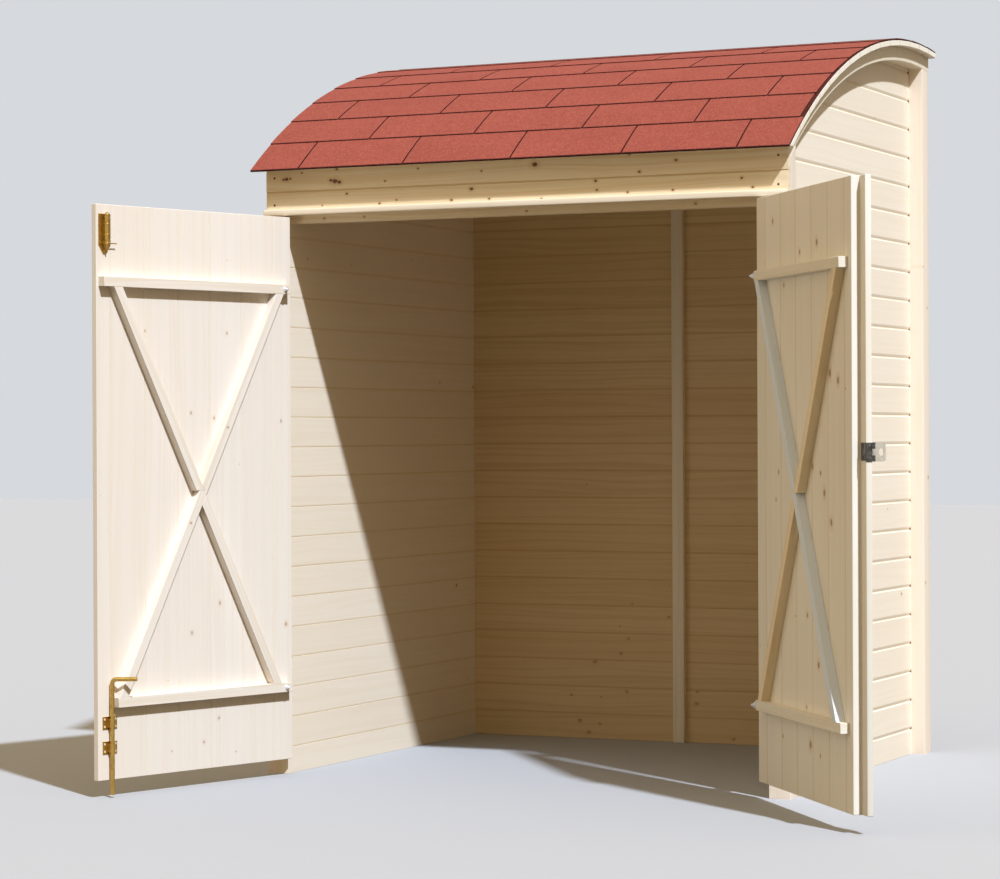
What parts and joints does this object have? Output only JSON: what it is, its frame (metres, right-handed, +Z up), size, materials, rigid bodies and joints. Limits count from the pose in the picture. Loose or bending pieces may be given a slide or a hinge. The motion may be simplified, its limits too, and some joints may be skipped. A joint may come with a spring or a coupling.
{
  "type": "timber bicycle shelter",
  "caption": "Small timber lean-to store for bicycles with a curved shingled roof, boarded walls, an open floor and ledged and braced double doors.",
  "frame": {"origin": "on the ground, at the middle of the width, in the plane of the rear face", "axes": "+Z up, +Y out of the rear face, -Y towards the doors, +X to the right seen from the front"},
  "size_m": [2.2084, 1.9877, 2.1448],
  "materials": {
    "spruce_boards": "planed, untreated",
    "spruce_timber": "planed, untreated",
    "red_shingles": "mineral granules",
    "galvanised_steel": "zinc plated",
    "brass": "brass plated, yellow passivated"
  },
  "bodies": {
    "shelter": {"front_post_left": "spruce_timber", "front_post_right": "spruce_timber", "rear_post_left": "spruce_timber", "rear_post_right": "spruce_timber", "arch_beam_left": "spruce_timber", "arch_beam_right": "spruce_timber", "side_wall_left": "spruce_boards", "side_wall_right": "spruce_boards", "back_wall_left": "spruce_boards", "back_wall_right": "spruce_boards", "back_wall_batten": "spruce_timber", "lintel": "spruce_timber", "header_board_lower": "spruce_timber", "header_board_upper": "spruce_timber", "drip_rail": "spruce_timber", "roof_deck": "spruce_timber", "roof_covering": "red_shingles", "hinge_plates_left": "galvanised_steel", "hinge_plates_right": "galvanised_steel"},
    "left_door": {"left_door_panel": "spruce_boards", "left_door_ledge_top": "spruce_timber", "left_door_ledge_bottom": "spruce_timber", "left_door_brace_top_outer": "spruce_timber", "left_door_brace_top_inner": "spruce_timber", "left_door_brace_bottom_outer": "spruce_timber", "left_door_brace_bottom_inner": "spruce_timber", "left_door_hinge_straps": "galvanised_steel", "drop_bolt_keepers": "brass", "top_bolt_plate": "brass", "hasp_staple": "galvanised_steel"},
    "right_door": {"right_door_panel": "spruce_boards", "right_door_ledge_top": "spruce_timber", "right_door_ledge_bottom": "spruce_timber", "right_door_brace_top_outer": "spruce_timber", "right_door_brace_top_inner": "spruce_timber", "right_door_brace_bottom_outer": "spruce_timber", "right_door_brace_bottom_inner": "spruce_timber", "right_door_hinge_straps": "galvanised_steel", "astragal": "spruce_timber", "hasp_base": "galvanised_steel"},
    "drop_bolt_rod": {"drop_bolt": "brass"},
    "top_bolt_rod": {"top_bolt": "brass"},
    "hasp": {"hasp_strap": "galvanised_steel"}
  },
  "joints": [
    {"name": "left_door_hinge", "type": "hinge", "parent": "shelter", "child": "left_door", "pos_m": [-0.7335, -1.28, 0.825], "axis": [0, 0, -1], "range_deg": [-106.5, 63.5]},
    {"name": "right_door_hinge", "type": "hinge", "parent": "shelter", "child": "right_door", "pos_m": [0.7335, -1.28, 0.825], "axis": [0, 0, 1], "range_deg": [-128.5, 41.5]},
    {"name": "drop_bolt_slide", "type": "slide", "parent": "left_door", "child": "drop_bolt_rod", "axis": [0, 0, 1], "range_m": [0, 0.07]},
    {"name": "top_bolt_slide", "type": "slide", "parent": "left_door", "child": "top_bolt_rod", "axis": [0, 0, 1], "range_m": [0, 0.03]},
    {"name": "hasp_hinge", "type": "hinge", "parent": "right_door", "child": "hasp", "pos_m": [1.22584, -1.86843, 0.93], "axis": [0, 0, 1], "range_deg": [-90, 85]}
  ]
}
